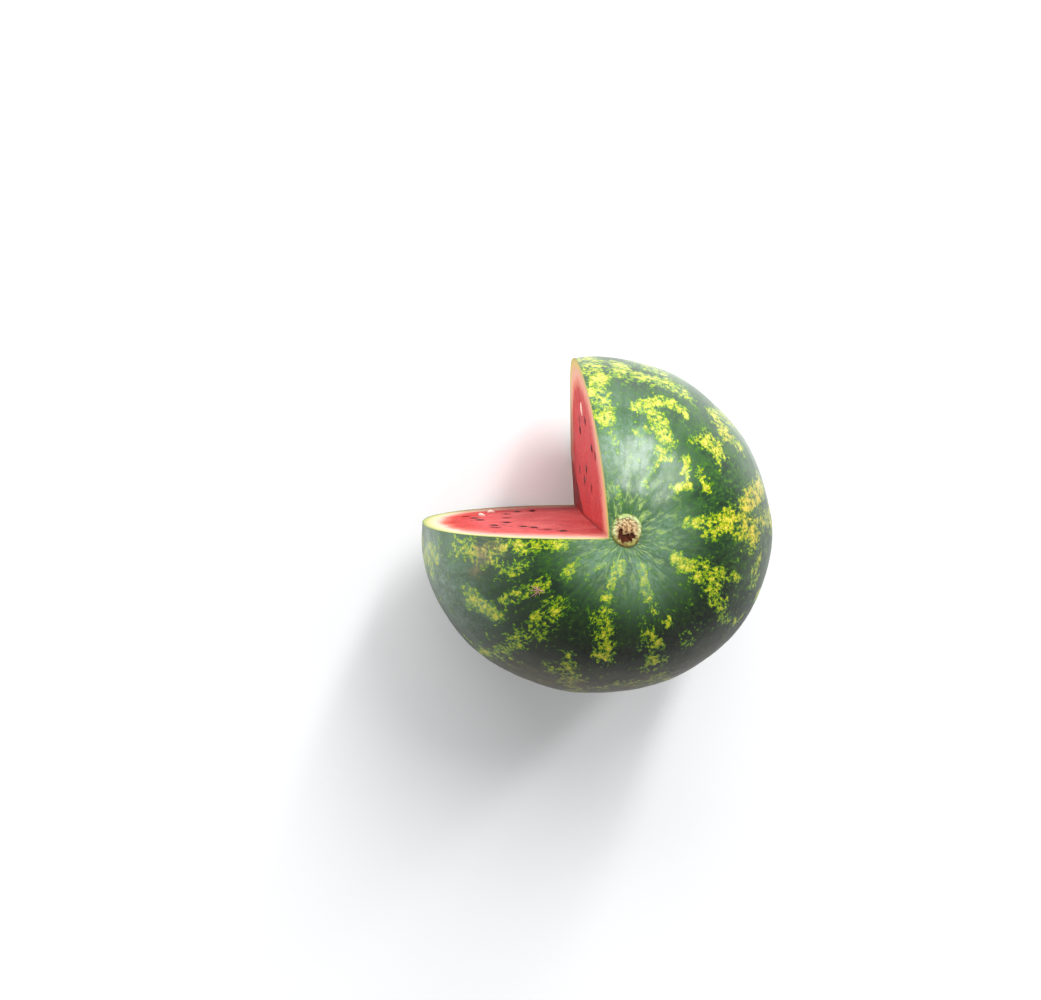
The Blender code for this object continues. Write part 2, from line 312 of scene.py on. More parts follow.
def streak_paths():
    """Every stripe piece as its points on the skin, half width and strength."""
    paths = []
    for points, half_width, strength in STREAKS:
        paths.append((points, half_width * MM, strength))
    pick = np.random.default_rng(5)
    for turn in LOWER_STRIPES:
        along = LOWER_START + pick.uniform(-8, 8)
        while along < LOWER_END:
            length = pick.uniform(18, 40)
            fade = 1 - 0.35 * (along - LOWER_START) / (LOWER_END - LOWER_START)
            width = (9 if along < 300 else 6) * pick.uniform(0.6, 1.15) * MM
            start, end = turn + pick.uniform(-5, 5), turn + pick.uniform(-5, 5)
            paths.append(([(start, along), (end, along + length)], width, 0.9 * fade))
            if pick.uniform() < 0.5:
                side = pick.choice([-1, 1]) * pick.uniform(5, 9)
                branch = [(start, along + 6), (start + side, along + length * 0.6)]
                paths.append((branch, width * 0.5, 0.8 * fade))
            along += length + pick.uniform(-6, 8)
    return paths


def stripe_field(points):
    """How strongly each point of the skin lies in a stripe, 0 to about 1."""
    field = np.zeros(len(points))
    for path, half_width, strength in streak_paths():
        turns, alongs = np.array(path, float).T
        steps = np.linspace(0, len(path) - 1, 14 * (len(path) - 1) + 1)
        spots = skin_place(np.interp(steps, range(len(path)), turns),
                           np.interp(steps, range(len(path)), alongs) * MM)
        near = np.full(len(points), 1.0)
        for spot in spots:
            near = np.minimum(near, ((points - spot) ** 2).sum(1))
        away = np.sqrt(near) / half_width
        field = np.maximum(field, strength * (1 - smooth(away, 0.35, 1.75)))
    return field


def spot_field(points, spots):
    """How strongly soft round spots lie on each point of the skin."""
    field = np.zeros(len(points))
    for turn, along, width, strength in spots:
        spot = skin_place(turn, along * MM)
        away = np.sqrt(((points - spot) ** 2).sum(1)) / (width * MM)
        field = np.maximum(field, strength * np.exp(-away ** 2))
    return field


def shade_and_dull_field(points):
    """Painted shade and a duller skin on the side that looks along -Y, away from the lamps: darker,
    with olive stripes, and rougher.
    """
    turn, along = skin_coordinates(points)
    facing = 0.5 + 0.5 * np.cos(turn - math.radians(PAINTED_SHADE_TURN))
    return smooth(facing, 0.25, 0.95) * smooth(along, 18 * MM, 95 * MM)


def brown_side_field(points):
    """Where the skin is browner, on the side that looks along -Y, below the shoulder."""
    turn, along = skin_coordinates(points)
    facing = 0.5 + 0.5 * np.cos(turn - math.radians(BROWN_SIDE_TURN))
    return 0.75 * smooth(facing, 0.75, 1.0) * smooth(along, 92 * MM, 150 * MM)


# ---------------------------------------------------------------- the melon's mesh

# Empty seed sockets: distance from the corner and height over the middle
SOCKETS_B = [(-41, 60), (-88, -48), (-60, -30), (-74, 40)]
SOCKETS_A = [(28, 34), (75, -20), (38, -48), (52, 78)]

# Dark cracks in face B's flesh, as points given as the sockets are
CRACKS_B = [[(-68, 8), (-66, 30), (-58, 48), (-48, 51), (-44, 71), (-35, 61), (-32, 76)],
            [(-62, -88), (-44, -84)], [(-82, -25), (-77, -6)], [(-58, -52), (-46, -38)],
            [(-30, 20), (-22, 44)]]


def seed_nodes():
    """The frame's seeds: name to the object."""
    return {name: node for name, node in frame["nodes"].items() if name.startswith("seed_")}


def seed_middles(on_face_a):
    """The middles of the seeds that lie on one cut face."""
    middles = []
    for name in seed_nodes():
        low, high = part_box(name)
        middle = (low + high) / 2
        if (middle.y > FACE_A_SEEDS_Y) == on_face_a:
            middles.append(middle)
    return middles


def dents(side, height, spots, wide, deep):
    """Round dents in a cut face, at spots of (distance, height), as a negative depth."""
    field = np.zeros_like(side)
    for spot_side, spot_height in spots:
        away = np.hypot((side - spot_side) / (1.35 * wide), (height - spot_height) / wide)
        field = np.minimum(field, -deep * (1 - smooth(away, 0.35, 1.15)))
    return field


def face_relief(points, axis, seed):
    """How far a cut face stands out of its plane: knife waves, fibres, dents."""
    side, height = points[:, axis], points[:, 2]
    up = height - MIDDLE
    flat = np.stack([side, up, np.full_like(side, seed)], -1)
    fanned = np.stack([side, up * (1 + 2.5 * np.abs(side)), flat[:, 2]], -1)
    relief = 0.30 * MM * noise_at(flat, (45 * MM, 16 * MM, 1), seed)
    relief += 0.15 * MM * noise_at(fanned, (14 * MM, 2.4 * MM, 1), seed + 3)
    relief += 0.10 * MM * noise_at(flat, 2.8 * MM, seed + 5)
    seeds = [(middle[axis], middle.z) for middle in seed_middles(axis == 1)]
    sockets = SOCKETS_A if axis == 1 else SOCKETS_B
    holes = [(spot * MM, MIDDLE + rise * MM) for spot, rise in sockets]
    dips = dents(side, height, seeds, 3.6 * MM, 0.7 * MM)
    return relief + np.minimum(dips, dents(side, height, holes, 2.3 * MM, 1.3 * MM))


def raise_face(grid, axis, seed):
    """Gives a cut face its relief, which dies out at the rim and in the corner."""
    rows, columns, _ = grid.shape
    points = grid.reshape(-1, 3)
    step = 1 * MM
    if axis == 1:
        over_y = (face_a_x(points[:, 1] + step, points[:, 2]) - points[:, 0]) / step
        over_z = (face_a_x(points[:, 1], points[:, 2] + step) - points[:, 0]) / step
        normal = np.stack([-np.ones(len(points)), over_y, over_z], -1)
    else:
        normal = np.tile([0, 1, -CUT_B_LEAN], (len(points), 1))
    normal /= np.linalg.norm(normal, axis=1, keepdims=True)
    corner_x, corner_y = corner(points[:, 2])
    side = np.abs(points[:, axis] - (corner_y if axis == 1 else corner_x))
    out = np.tile(np.linspace(0, 1, columns), rows)
    fade = smooth(side, 0, 4 * MM) * smooth(1 - out, 0, 0.03)
    relief = face_relief(points, axis, seed) * fade
    return (points + normal * relief[:, None]).reshape(rows, columns, 3)


def raise_skin(grid):
    """Gives the skin faint ribs, soft lumps and furrows round the stem, and sinks it
    under the stub."""
    points = grid.reshape(-1, 3)
    turn, along = skin_coordinates(points)
    outward = points - (0, 0, MIDDLE)
    outward /= np.linalg.norm(outward, axis=1, keepdims=True)
    ribs = RIB_HEIGHT * np.cos(RIBS * turn + 0.6) * smooth(along, 20 * MM, 90 * MM)
    away = from_stub(points[:, 0], points[:, 1])
    near_stem = np.exp(-(away / (30 * MM)) ** 2)
    furrows = FURROW_HEIGHT * np.cos(FURROWS * turn) * near_stem * smooth(along, 10 * MM, 18 * MM)
    lumps = 0.45 * MM * noise_at(points, 32 * MM, 1) + 0.10 * MM * noise_at(points, 7 * MM, 2)
    standing = smooth(points[:, 2], 0.5 * MM, 14 * MM) * smooth(along, 0, 12 * MM)
    sunk = SUNK_UNDER_STUB * (1 - smooth(away, 0.80 * STUB_RADIUS, 0.96 * STUB_RADIUS))
    sunk = np.where(points[:, 2] > MIDDLE, sunk, 0)
    relief = (ribs + furrows + lumps) * standing - sunk
    raised = points + outward * relief[:, None]
    raised[:, 2] = np.maximum(raised[:, 2], 0)
    return raised.reshape(grid.shape)


def crack_spots():
    """Places along the cracks in face B: X and height over the floor."""
    spots = []
    for path in CRACKS_B:
        for (side, rise), (next_side, next_rise) in zip(path, path[1:]):
            for share in np.linspace(0, 1, 12):
                spots.append(((side + share * (next_side - side)) * MM,
                              MIDDLE + (rise + share * (next_rise - rise)) * MM))
    return spots


def pit_field(points):
    """How near each point of the cut faces lies to a seed, an empty socket or a crack."""
    on_face_b = points[:, 1] < FACE_A_POINTS + face_b_y(points[:, 2])
    field = np.zeros(len(points))
    for side, height in crack_spots():
        away = np.hypot((points[:, 0] - side) / (1.5 * MM), (points[:, 2] - height) / (4 * MM))
        field = np.maximum(field, on_face_b * 0.65 * np.exp(-away ** 2))
    for on_face_a, axis, sockets in ((True, 1, SOCKETS_A), (False, 0, SOCKETS_B)):
        spots = [(middle[axis], middle.z) for middle in seed_middles(on_face_a)]
        spots += [(side * MM, MIDDLE + rise * MM) for side, rise in sockets]
        here = (points[:, 1] > FACE_A_POINTS + face_b_y(points[:, 2])) == on_face_a
        for side, height in spots:
            away = np.hypot((points[:, axis] - side) / (4.5 * MM), (points[:, 2] - height) / (7 * MM))
            field = np.maximum(field, here * np.exp(-away ** 2))
    return field


def painted_shade_under_step(points):
    """Where shade is painted on face A: 1 on its deeper part under the knife's step, and up to 0.7
    along the corner.
    """
    _, y, z = points.T
    under = smooth(MIDDLE + RIDGE_START - RIDGE_FALL * (y - CUT_B_Y) - z, 0, 3 * MM)
    on_face_a = smooth(y - face_b_y(z), 0.1 * MM, 0.5 * MM)
    crease = 1 - smooth(y - face_b_y(z), 1.0 * MM, 3.6 * MM)
    return on_face_a * np.maximum(under, 0.7 * crease * smooth(TOP - z, 4 * MM, 26 * MM))


def melon_grids():
    """The closed mesh as three grids, rows first: the skin, face A and face B."""
    tilts = even_tilts()[:, None]
    shares = np.linspace(0, 1, SKIN_COLUMNS + 1)[None, :]
    outs = np.linspace(0, 1, FACE_COLUMNS + 1)[None, :]
    skin = np.stack(ray_point(shares, tilts, reach_skin(shares, tilts)), -1)
    face_a = np.stack(ray_point(1.0, tilts, outs * reach_skin(1.0, tilts)), -1)
    face_b = np.stack(ray_point(0.0, tilts, outs * reach_skin(0.0, tilts)), -1)
    return raise_skin(skin), raise_face(face_a, 1, 11), raise_face(face_b, 0, 23)


def shared_numbers():
    """Vertex numbers of the three grids, which share the rims and the inner corner."""
    rows = ROWS + 1
    skin = np.arange(rows * (SKIN_COLUMNS + 1)).reshape(rows, -1)
    skin[0], skin[-1] = skin[0, 0], skin[-1, 0]
    face_a = skin.size + np.arange(rows * (FACE_COLUMNS + 1)).reshape(rows, -1)
    face_b = face_a + face_a.size
    face_a[:, 0] = face_a[1, 0]
    face_a[:, -1] = skin[:, -1]
    face_b[:, 0] = face_a[1, 0]
    face_b[:, -1] = skin[:, 0]
    face_b[0], face_b[-1] = face_a[0], face_a[-1]
    return skin, face_a, face_b


def grid_faces(numbers, flip):
    """The grid's faces: quads, or triangles where two corners are one vertex."""
    quads = np.stack([numbers[:-1, :-1], numbers[:-1, 1:], numbers[1:, 1:], numbers[1:, :-1]], -1)
    faces = []
    for quad in quads.reshape(-1, 4).tolist():
        face = list(dict.fromkeys(quad))
        if len(face) > 2:
            faces.append(face[::-1] if flip else face)
    return faces


def depth_below_skin(points):
    """How far each point lies under the skin of the whole fruit."""
    x, y, z = points.T
    step = 0.05 * MM
    here = fruit_level(x, y, z - MIDDLE)
    beside = [fruit_level(x + step, y, z - MIDDLE), fruit_level(x, y + step, z - MIDDLE),
              fruit_level(x, y, z + step - MIDDLE)]
    steepness = np.sqrt(sum(((level - here) / step) ** 2 for level in beside))
    return np.maximum(1 - here, 0) / np.maximum(steepness, 1e-6)


def show(name, data):
    """A new object in the scene."""
    piece = bpy.data.objects.new(name, data)
    bpy.context.scene.collection.objects.link(piece)
    return piece


def add_values(mesh, name, values):
    layer = mesh.attributes.new(name, "FLOAT", "POINT")
    layer.data.foreach_set("value", np.asarray(values, np.float32))


def add_vectors(mesh, name, values):
    layer = mesh.attributes.new(name, "FLOAT_VECTOR", "POINT")
    layer.data.foreach_set("vector", np.asarray(values, np.float32).ravel())


def melon_points(numbers):
    """Every vertex's place and grain, and whether it lies on the skin."""
    grids = melon_grids()
    places = np.zeros((sum(grid[..., 0].size for grid in grids), 3))
    on_skin = np.zeros(len(places), bool)
    grain = np.zeros_like(places)
    for which in (2, 1, 0):        # the skin last, so that the rims they share are its own
        points, ids = grids[which].reshape(-1, 3), numbers[which].ravel()
        places[ids] = points
        if which == 0:
            turn, along = skin_coordinates(points)
            grain[ids] = np.stack([turn, along, np.zeros_like(turn)], -1)
            on_skin[ids] = True
        else:
            side = points[:, 1] if which == 1 else -points[:, 0]
            inner = ~np.isin(ids, numbers[0])
            grain[ids[inner]] = np.stack([side, points[:, 2], np.full_like(side, which)], -1)[inner]
    return places, grain, on_skin


def make_melon():
    """The melon as one closed mesh of two materials."""
    numbers = shared_numbers()
    places, grain, on_skin = melon_points(numbers)
    faces = grid_faces(numbers[0], False)
    skin_count = len(faces)
    faces += grid_faces(numbers[1], True) + grid_faces(numbers[2], False)
    used, flat = np.unique([i for face in faces for i in face], return_inverse=True)
    ends = np.cumsum([len(face) for face in faces])
    faces = [part.tolist() for part in np.split(flat, ends[:-1])]
    places, grain, on_skin = places[used], grain[used], on_skin[used]
    mesh = bpy.data.meshes.new("melon_cut")
    mesh.from_pydata(places.tolist(), [], faces)
    mesh.materials.append(skin_material())
    mesh.materials.append(flesh_material())
    mesh.polygons.foreach_set("material_index", [0] * skin_count + [1] * (len(faces) - skin_count))
    turn_faces_out(mesh)
    add_patterns(mesh, places, on_skin)
    add_vectors(mesh, "grain", grain)
    mesh.shade_smooth()
    mesh.set_sharp_from_angle(angle=math.radians(SHARP_ANGLE))
    return show("melon_cut", mesh)


def add_patterns(mesh, places, on_skin):
    """What the melon's two materials read at each vertex."""
    stripe, bloom = np.zeros(len(places)), np.zeros(len(places))
    stripe[on_skin] = stripe_field(places[on_skin])
    bloom[on_skin] = spot_field(places[on_skin], BLOOM)
    add_values(mesh, "stripe", stripe)
    add_values(mesh, "bloom", bloom)
    add_values(mesh, "blemish", spot_field(places, BLEMISHES))
    add_values(mesh, "golden", spot_field(places, GOLDEN))
    add_values(mesh, "brown_side", brown_side_field(places))
    # painted shade on the side away from the lamps, which is also rougher
    add_values(mesh, "shade_and_dull", shade_and_dull_field(places))
    # painted shade: the cut faces darker low down, towards the floor
    add_values(mesh, "painted_low_shade", np.where(on_skin, 0, 1 - smooth(places[:, 2], 14 * MM, 68 * MM)))
    # painted shade under the knife's step and along the corner
    add_values(mesh, "step", np.where(on_skin, 0, painted_shade_under_step(places)))
    # 1 on face A, which faces away from the lamps: painted shade there, and paler flesh on face B
    add_values(mesh, "face_a_shade", smooth(places[:, 1] - face_b_y(places[:, 2]), 0, 1.5 * MM))
    add_values(mesh, "stem_end", smooth(places[:, 2] - MIDDLE, 20 * MM, 95 * MM))
    # painted shade round the seeds and sockets, and the cracks, which are painted, not modelled
    add_values(mesh, "pit_shade", np.where(on_skin, 0, pit_field(places)))
    add_values(mesh, "end", smooth(np.abs(places[:, 2] - MIDDLE), 60 * MM, 118 * MM))
    add_values(mesh, "depth", depth_below_skin(places))
    add_values(mesh, "from_axis", np.hypot(places[:, 0], places[:, 1]))
    add_values(mesh, "from_stem", from_stub(places[:, 0], places[:, 1]))


def turn_faces_out(mesh):
    """Turns the closed mesh's faces so that all of them point out."""
    work = bmesh.new()
    work.from_mesh(mesh)
    bmesh.ops.recalc_face_normals(work, faces=work.faces)
    if work.calc_volume(signed=True) < 0:
        bmesh.ops.reverse_faces(work, faces=work.faces)
    work.to_mesh(mesh)
    work.free()


# ---------------------------------------------------------------- material tools

def srgb(red, green, blue):
    """A colour given as it looks on a screen, 0 to 255, as Blender's linear colour."""
    def linear(value):
        value /= 255
        return value / 12.92 if value < 0.04045 else ((value + 0.055) / 1.055) ** 2.4
    return linear(red), linear(green), linear(blue), 1


class Nodes:
    """Short names for the shader nodes that the materials below are made of."""

    def __init__(self, name):
        self.material = bpy.data.materials.new(name)
        self.material.use_nodes = True
        self.tree = self.material.node_tree
        self.shader = self.tree.nodes["Principled BSDF"]

    def add(self, kind, **settings):
        node = self.tree.nodes.new(kind)
        for key, value in settings.items():
            setattr(node, key, value)
        return node

    def put(self, socket, value):
        if isinstance(value, bpy.types.NodeSocket):
            self.tree.links.new(value, socket)
        else:
            socket.default_value = value

    def attribute(self, name, output="Fac"):
        return self.add("ShaderNodeAttribute", attribute_name=name).outputs[output]

    def place(self):
        return self.add("ShaderNodeTexCoord").outputs["Object"]

    def stretch(self, vector, scale):
        node = self.add("ShaderNodeMapping")
        self.put(node.inputs["Vector"], vector)
        node.inputs["Scale"].default_value = scale
        return node.outputs["Vector"]

    def noise(self, vector, scale, detail=4, roughness=0.55, distortion=0.0):
        node = self.add("ShaderNodeTexNoise")
        self.put(node.inputs["Vector"], vector)
        node.inputs["Scale"].default_value = scale
        node.inputs["Detail"].default_value = detail
        node.inputs["Roughness"].default_value = roughness
        node.inputs["Distortion"].default_value = distortion
        return node.outputs["Fac"]

    def cells(self, vector, scale):
        node = self.add("ShaderNodeTexVoronoi")
        self.put(node.inputs["Vector"], vector)
        node.inputs["Scale"].default_value = scale
        return node.outputs["Distance"]

    def math(self, operation, first, second=0.0, third=0.0):
        node = self.add("ShaderNodeMath", operation=operation)
        for socket, value in zip(node.inputs, (first, second, third)):
            self.put(socket, value)
        return node.outputs[0]

    def step(self, value, low, high, bottom=0.0, top=1.0):
        """A soft step from bottom to top as value goes from low to high."""
        node = self.add("ShaderNodeMapRange", interpolation_type="SMOOTHSTEP")
        self.put(node.inputs["Value"], value)
        for name, number in zip(("From Min", "From Max", "To Min", "To Max"), (low, high, bottom, top)):
            node.inputs[name].default_value = number
        return node.outputs["Result"]

    def mix(self, share, first, second, blend="MIX"):
        node = self.add("ShaderNodeMix", data_type="RGBA", blend_type=blend)
        self.put(node.inputs[0], share)
        self.put(node.inputs[6], first)
        self.put(node.inputs[7], second)
        return node.outputs[2]

    def ramp(self, value, stops):
        node = self.add("ShaderNodeValToRGB")
        self.put(node.inputs["Fac"], value)
        ramp = node.color_ramp
        while len(ramp.elements) < len(stops):
            ramp.elements.new(1)
        for element, (position, colour) in zip(ramp.elements, stops):
            element.position = position
            element.color = colour
        return node.outputs["Color"]

    def bump(self, height, strength, distance):
        node = self.add("ShaderNodeBump")
        node.inputs["Strength"].default_value = strength
        node.inputs["Distance"].default_value = distance
        self.put(node.inputs["Height"], height)
        self.put(self.shader.inputs["Normal"], node.outputs["Normal"])

    def surface(self, colour, roughness, **fixed):
        self.put(self.shader.inputs["Base Color"], colour)
        self.put(self.shader.inputs["Roughness"], roughness)
        for name, value in fixed.items():
            self.shader.inputs[name.replace("_", " ")].default_value = value
        return self.material


# ---------------------------------------------------------------- materials

def skin_material():
    """Dark green skin with jagged yellow-green stripes, fine veins and a whitish bloom."""
    n = Nodes("melon_skin")
    place, grain = n.place(), n.attribute("grain", "Vector")
    lumps = n.noise(place, 30, 3)
    patches = n.noise(place, 105, 3, 0.6)
    grains = n.noise(place, 330, 3, 0.6, 0.6)
    strokes = n.noise(n.stretch(grain, (26, 150, 1)), 1.0, 4, 0.6, 0.9)
    strokes = n.math("SUBTRACT", strokes, 0.5)
    strokes = n.math("MULTIPLY", strokes, n.step(n.attribute("from_stem"), 14 * MM, 66 * MM, 0.1, 1))
    strokes = n.math("ADD", strokes, 0.5)
    threads = n.math("ABSOLUTE", n.math("SUBTRACT", n.noise(place, 210, 4, 0.6, 1.0), 0.5))
    rays = n.noise(n.stretch(grain, (9, 16, 1)), 1.6, 5, 0.6, 0.4)

    deep = n.mix(n.step(lumps, 0.35, 0.65), srgb(20, 48, 26), srgb(44, 80, 38))
    base = n.mix(n.step(rays, 0.4, 0.7, 0, 0.28), deep, srgb(60, 100, 48))
    net = n.math("ADD", strokes, n.math("MULTIPLY", n.math("SUBTRACT", grains, 0.5), 0.9))
    base = n.mix(n.step(net, 0.44, 0.76, 0, 0.75), base, srgb(72, 120, 26))
    away = n.step(n.attribute("from_stem"), 14 * MM, 60 * MM)
    gaps = n.math("MULTIPLY", away, n.step(net, 0.26, 0.46, 0.55, 0))
    base = n.mix(gaps, base, srgb(8, 26, 16))
    # painted shade: the side that looks along -Y made darker, its stripes olive and fewer; the same
    # mask makes that side rougher
    shade_and_dull = n.attribute("shade_and_dull")
    base = n.mix(shade_and_dull, base, srgb(122, 106, 82), "MULTIPLY")

    stripe = n.attribute("stripe")
    ragged = n.math("MULTIPLY_ADD", stripe, 0.70, -0.10)
    for field, weight in ((strokes, 1.9), (grains, 1.8), (patches, 1.4)):
        ragged = n.math("ADD", ragged, n.math("MULTIPLY", n.math("SUBTRACT", field, 0.5), weight))
    ragged = n.math("SUBTRACT", ragged, n.math("MULTIPLY", shade_and_dull, 0.05))
    tone = n.ramp(ragged, [
        (0.12, srgb(30, 74, 6)), (0.30, srgb(64, 122, 0)), (0.46, srgb(126, 166, 0)),
        (0.64, srgb(190, 196, 6)), (0.94, srgb(228, 216, 92))])
    tone = n.mix(n.step(threads, 0.0, 0.06, 0.7, 0), tone, srgb(40, 92, 4))
    tone = n.mix(n.attribute("golden"), tone, srgb(250, 222, 190), "MULTIPLY")
    tone = n.mix(shade_and_dull, tone, srgb(238, 236, 170), "MULTIPLY")
    colour = n.mix(n.step(ragged, 0.08, 0.48), base, tone)
    blemish = n.math("MULTIPLY", n.attribute("blemish"), n.step(strokes, 0.35, 0.6))
    colour = n.mix(blemish, colour, srgb(168, 128, 92))

    bloom = n.attribute("bloom")
    hazy = n.math("MULTIPLY", bloom, n.step(rays, 0.3, 0.7, 0.65, 1.0))
    hazy = n.math("MULTIPLY", hazy, n.step(net, 0.35, 0.65, 1.0, 0.45))
    colour = n.mix(n.math("MULTIPLY", hazy, 0.8), colour, srgb(142, 176, 148))
    near_stem = n.step(n.attribute("from_stem"), STUB_RADIUS, STUB_RADIUS + 46 * MM, 1, 0)
    sprigs = n.noise(n.stretch(grain, (8, 125, 1)), 1.0, 5, 0.66, 0.7)
    shadowed = n.math("MULTIPLY", near_stem, n.step(sprigs, 0.32, 0.46, 0.5, 0))
    colour = n.mix(shadowed, colour, srgb(44, 84, 40))
    fresh = n.math("MULTIPLY", near_stem, n.step(sprigs, 0.50, 0.66, 0, 0.85))
    colour = n.mix(fresh, colour, srgb(158, 186, 100))
    brown_side = n.math("MULTIPLY", n.attribute("brown_side"), n.step(patches, 0.35, 0.65, 0.35, 1.0))
    colour = n.mix(brown_side, colour, srgb(90, 74, 34))

    height = n.math("ADD", n.math("MULTIPLY", strokes, 0.4), n.math("MULTIPLY", grains, 0.35))
    n.bump(height, 0.22, 0.4 * MM)
    gloss = n.math("ADD", n.math("SUBTRACT", hazy, shade_and_dull), lumps)
    roughness = n.step(gloss, -0.5, 1.0, 0.50, 0.20)
    return n.surface(colour, roughness, Specular_IOR_Level=0.34)


def flesh_material():
    """Pale rind that turns through pink to wet red flesh, with fibres and grains."""
    n = Nodes("melon_flesh")
    place, grain = n.place(), n.attribute("grain", "Vector")
    fibres = n.noise(n.stretch(grain, (40, 64, 1)), 1.0, 6, 0.74, 1.1)
    grains = n.cells(place, 620)
    clouds = n.noise(place, 60, 4)
    sugar = n.noise(n.stretch(place, (1, 1, 0.35)), 520, 4, 0.7)
    cells = n.noise(n.stretch(place, (1, 1, 0.3)), 260, 4, 0.7, 0.6)

    thick = n.step(n.attribute("end"), 0, 1, 1.0, 0.66)
    depth = n.math("MULTIPLY", n.attribute("depth"), thick)
    wander = n.math("MULTIPLY", n.math("SUBTRACT", clouds, 0.5), 8 * MM)
    weave = n.math("MULTIPLY", n.math("SUBTRACT", fibres, 0.5), 7 * MM)
    inner = n.step(depth, 7 * MM, 14 * MM)
    moved = n.math("ADD", depth, n.math("MULTIPLY", inner, n.math("ADD", wander, weave)))
    rind = n.ramp(n.math("MULTIPLY", moved, 1 / (40 * MM)), [
        (0.0, srgb(60, 92, 40)), (0.02, srgb(112, 138, 60)), (0.045, srgb(172, 184, 96)),
        (0.12, srgb(206, 204, 138)), (0.22, srgb(226, 212, 176)), (0.30, srgb(232, 192, 172)),
        (0.40, srgb(222, 112, 92)), (0.52, srgb(202, 42, 22)), (0.70, srgb(198, 24, 12)),
        (0.84, srgb(202, 26, 24)), (1.0, srgb(200, 26, 36))])
    heart = n.step(n.attribute("from_axis"), 4 * MM, 26 * MM, 0.12, 0)
    colour = n.mix(heart, rind, srgb(226, 96, 84))
    red = n.step(moved, 14 * MM, 24 * MM)
    paler = n.math("MULTIPLY", n.attribute("stem_end"), n.step(depth, 9 * MM, 44 * MM, 0.72, 0))
    paler = n.math("MULTIPLY", paler, n.step(depth, 4 * MM, 10 * MM))
    colour = n.mix(paler, colour, srgb(240, 168, 158))
    # painted shade: face A's rind made tan and darker
    tan = n.math("MULTIPLY", n.attribute("face_a_shade"), n.step(red, 0, 1, 0.6, 0))
    colour = n.mix(tan, colour, n.mix(n.step(depth, 3 * MM, 8 * MM), srgb(228, 190, 92),
                                      srgb(230, 150, 118)))
    dark = n.math("MULTIPLY", red, n.step(fibres, 0.51, 0.70, 0, 0.7))
    colour = n.mix(dark, colour, srgb(156, 6, 26))
    speck = n.math("MULTIPLY", red, n.step(cells, 0.54, 0.70, 0, 0.65))
    colour = n.mix(speck, colour, srgb(132, 4, 20))
    light = n.math("MULTIPLY", red, n.step(sugar, 0.52, 0.72, 0, 0.55))
    colour = n.mix(light, colour, srgb(228, 100, 90))
    # pale clouds in the deep flesh, with painted light: strong on the lit face B, weak on face A
    paled = n.math("MULTIPLY", n.step(clouds, 0.34, 0.72, 0.1, 0.6), n.step(depth, 24 * MM, 48 * MM))
    paled = n.math("MULTIPLY", paled, n.step(n.attribute("face_a_shade"), 0, 1, 1, 0.3))
    colour = n.mix(paled, colour, srgb(230, 132, 128))
    # painted shade: darker red round the seeds and in the empty sockets, and dark cracks painted on
    # face B
    pit_shade = n.math("ADD", n.attribute("pit_shade"), n.math("SUBTRACT", cells, 0.5))
    colour = n.mix(n.step(pit_shade, 0.3, 0.8, 0, 0.8), colour, srgb(112, 4, 18))
    # painted shade low on the cut faces, strongest on the rind
    low_shade = n.math("MULTIPLY", n.attribute("painted_low_shade"), n.step(depth, 0, 3 * MM, 0.5, 0.8))
    colour = n.mix(low_shade, colour, srgb(132, 34, 44))
    # painted shade: dark red on face A under the knife's step and along the corner
    shade = n.math("MULTIPLY", n.attribute("step"), n.step(depth, 0, 4 * MM, 0.3, 0.95))
    colour = n.mix(shade, colour, n.mix(n.step(cells, 0.38, 0.64), srgb(142, 0, 18), srgb(96, 0, 12)))

    height = n.math("ADD", n.math("MULTIPLY", fibres, 0.7), n.math("MULTIPLY", grains, 0.5))
    n.bump(n.math("MULTIPLY", height, n.step(moved, 8 * MM, 18 * MM, 0.25, 1)), 0.6, 0.6 * MM)
    roughness = n.step(clouds, 0.3, 0.7, 0.46, 0.60)
    return n.surface(colour, roughness, Subsurface_Weight=0.04, Subsurface_Scale=0.003,
                     Specular_IOR_Level=0.12)


def cork_material():
    """Dry cork: a greenish lip with painted shade on its -Y side, tan folds with brown cracks, and a
    dark broken middle.
    """
    n = Nodes("stem_cork")
    place = n.place()
    grit = n.noise(place, 700, 5, 0.7, 0.5)
    patches = n.noise(place, 260, 3, 0.6)
    ring = n.math("DIVIDE", n.attribute("from_stem"), STUB_RADIUS)
    shaky = n.math("ADD", ring, n.math("MULTIPLY", n.math("SUBTRACT", patches, 0.5), 0.35))
    colour = n.ramp(shaky, [
        (0.0, srgb(184, 146, 104)), (0.30, srgb(200, 166, 120)), (0.70, srgb(208, 184, 140)),
        (0.82, srgb(204, 202, 146)), (0.90, srgb(198, 210, 152)), (1.0, srgb(160, 182, 110))])
    # painted shade: the lip olive and darker on its -Y side, away from the lamps
    lip_shade = n.step(n.attribute("side"), -0.7, 0.1, 0.75, 0)
    lip_shade = n.math("MULTIPLY", lip_shade, n.step(shaky, 0.6, 0.9))
    colour = n.mix(lip_shade, colour, srgb(126, 112, 38))
    colour = n.mix(n.step(n.attribute("fold"), 0.1, 0.5, 0.9, 0), colour, srgb(96, 58, 32))
    broken = n.math("ADD", n.attribute("broken"), n.math("SUBTRACT", patches, 0.5))
    colour = n.mix(n.step(grit, 0.5, 0.75, 0, 0.45), colour, srgb(220, 202, 158))
    colour = n.mix(n.step(broken, 0.3, 0.6), colour, n.mix(grit, srgb(34, 12, 6), srgb(96, 48, 24)))
    n.bump(grit, 0.6, 0.5 * MM)
    return n.surface(colour, 0.85, Specular_IOR_Level=0.2)


